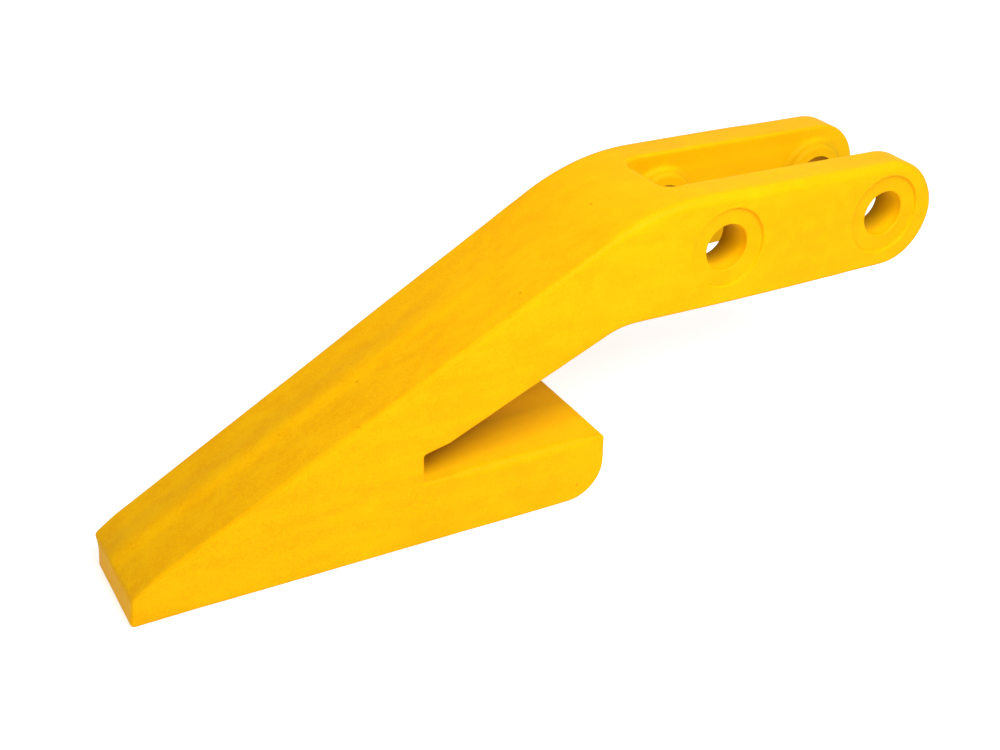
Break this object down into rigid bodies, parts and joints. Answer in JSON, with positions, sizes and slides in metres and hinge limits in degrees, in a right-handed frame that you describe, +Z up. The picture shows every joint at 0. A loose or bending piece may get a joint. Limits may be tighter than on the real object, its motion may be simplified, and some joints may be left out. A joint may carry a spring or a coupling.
{
  "type": "side bucket tooth",
  "caption": "Bolt-on side bucket tooth: a wedge nose with a blunt tip, a heel below a lip notch, and a slotted strap whose ears are drilled for bolts.",
  "frame": {"origin": "on the ground under the middle of the tooth's length and width", "axes": "+X from the cutting tip to the ears, +Y across the tooth, +Z up"},
  "size_m": [0.3777, 0.0706, 0.1316],
  "materials": {
    "yellow_paint": "satin yellow enamel over as-cast steel"
  },
  "bodies": {
    "root": {"side_tooth_casting": "yellow_paint"}
  },
  "joints": []
}
